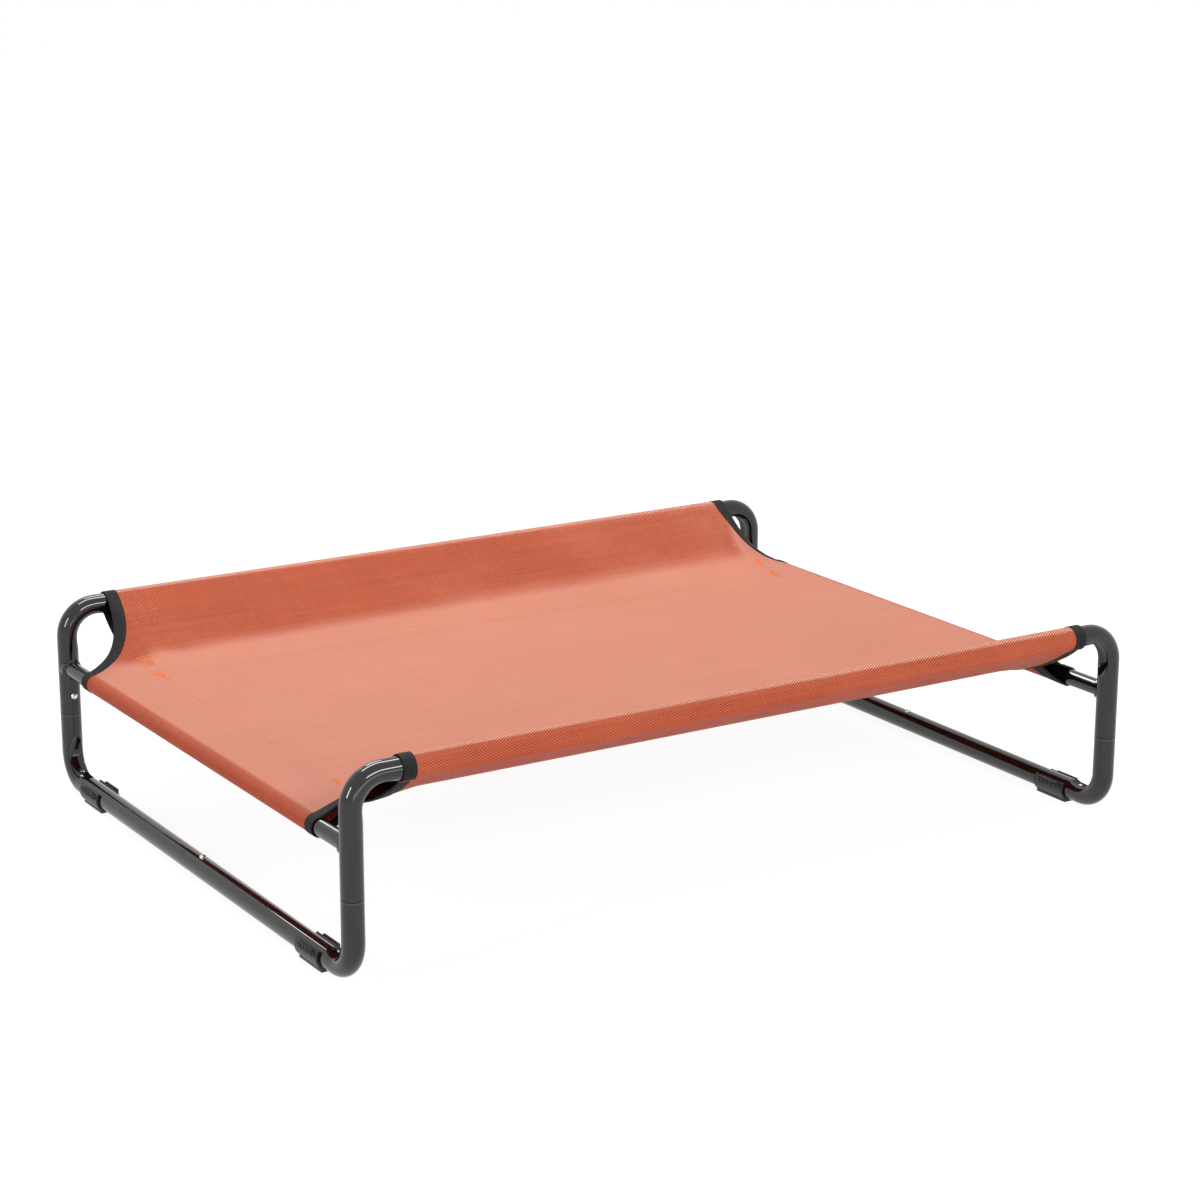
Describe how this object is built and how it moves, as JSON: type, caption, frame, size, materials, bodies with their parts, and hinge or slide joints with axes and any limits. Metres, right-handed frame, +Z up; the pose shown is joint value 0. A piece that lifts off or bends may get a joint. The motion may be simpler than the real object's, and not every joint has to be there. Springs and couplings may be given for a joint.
{
  "type": "raised dog bed",
  "caption": "Raised dog cot: a woven sling with sleeved edges, stretched on a plug-together steel tube frame whose long sides stand higher, with snap buttons and clip-on glides.",
  "frame": {"origin": "on the floor under the middle of the frame", "axes": "+X along the raised long sides, +Y across the width to the back rail, +Z up"},
  "size_m": [0.9192, 0.679, 0.2145],
  "materials": {
    "frame_black": "gloss",
    "glide_plastic": "satin",
    "button_steel": "bright zinc",
    "spring_steel": "plain",
    "sling_mesh": "woven, matt",
    "binding_tape": "woven tape, matt"
  },
  "bodies": {
    "frame": {"front_left_corner_tube": "frame_black", "back_left_corner_tube": "frame_black", "front_right_corner_tube": "frame_black", "back_right_corner_tube": "frame_black", "front_left_crossbar_stub": "frame_black", "back_left_crossbar_stub": "frame_black", "front_right_crossbar_stub": "frame_black", "back_right_crossbar_stub": "frame_black", "front_left_lower_tube": "frame_black", "back_left_lower_tube": "frame_black", "front_right_lower_tube": "frame_black", "back_right_lower_tube": "frame_black", "front_left_glide": "glide_plastic", "back_left_glide": "glide_plastic", "front_right_glide": "glide_plastic", "back_right_glide": "glide_plastic", "front_rail": "frame_black", "back_rail": "frame_black", "left_crossbar": "frame_black", "right_crossbar": "frame_black", "front_left_button_spring": "spring_steel", "back_left_button_spring": "spring_steel", "front_right_button_spring": "spring_steel", "back_right_button_spring": "spring_steel", "left_bar_button_spring": "spring_steel", "right_bar_button_spring": "spring_steel", "sling_panel": "sling_mesh", "front_sleeve": "sling_mesh", "back_sleeve": "sling_mesh", "left_sleeve": "sling_mesh", "right_sleeve": "sling_mesh", "front_left_binding": "binding_tape", "back_left_binding": "binding_tape", "front_right_binding": "binding_tape", "back_right_binding": "binding_tape"},
    "front_left_button": {"front_left_snap_button": "button_steel"},
    "back_left_button": {"back_left_snap_button": "button_steel"},
    "front_right_button": {"front_right_snap_button": "button_steel"},
    "back_right_button": {"back_right_snap_button": "button_steel"},
    "left_bar_button": {"left_bar_snap_button": "button_steel"},
    "right_bar_button": {"right_bar_snap_button": "button_steel"}
  },
  "joints": [
    {"name": "front_left_button_press", "type": "slide", "parent": "frame", "child": "front_left_button", "axis": [0, -1, 0], "range_m": [0, 0.0039], "stiffness_N_per_m": 3000, "springref_m": -0.003, "deforming": ["front_left_button_spring"]},
    {"name": "back_left_button_press", "type": "slide", "parent": "frame", "child": "back_left_button", "axis": [0, 1, 0], "range_m": [0, 0.0039], "stiffness_N_per_m": 3000, "springref_m": -0.003, "deforming": ["back_left_button_spring"]},
    {"name": "front_right_button_press", "type": "slide", "parent": "frame", "child": "front_right_button", "axis": [0, -1, 0], "range_m": [0, 0.0039], "stiffness_N_per_m": 3000, "springref_m": -0.003, "deforming": ["front_right_button_spring"]},
    {"name": "back_right_button_press", "type": "slide", "parent": "frame", "child": "back_right_button", "axis": [0, 1, 0], "range_m": [0, 0.0039], "stiffness_N_per_m": 3000, "springref_m": -0.003, "deforming": ["back_right_button_spring"]},
    {"name": "left_bar_button_press", "type": "slide", "parent": "frame", "child": "left_bar_button", "axis": [0, 0, -1], "range_m": [0, 0.0039], "stiffness_N_per_m": 3000, "springref_m": -0.003, "deforming": ["left_bar_button_spring"]},
    {"name": "right_bar_button_press", "type": "slide", "parent": "frame", "child": "right_bar_button", "axis": [0, 0, -1], "range_m": [0, 0.0039], "stiffness_N_per_m": 3000, "springref_m": -0.003, "deforming": ["right_bar_button_spring"]}
  ]
}
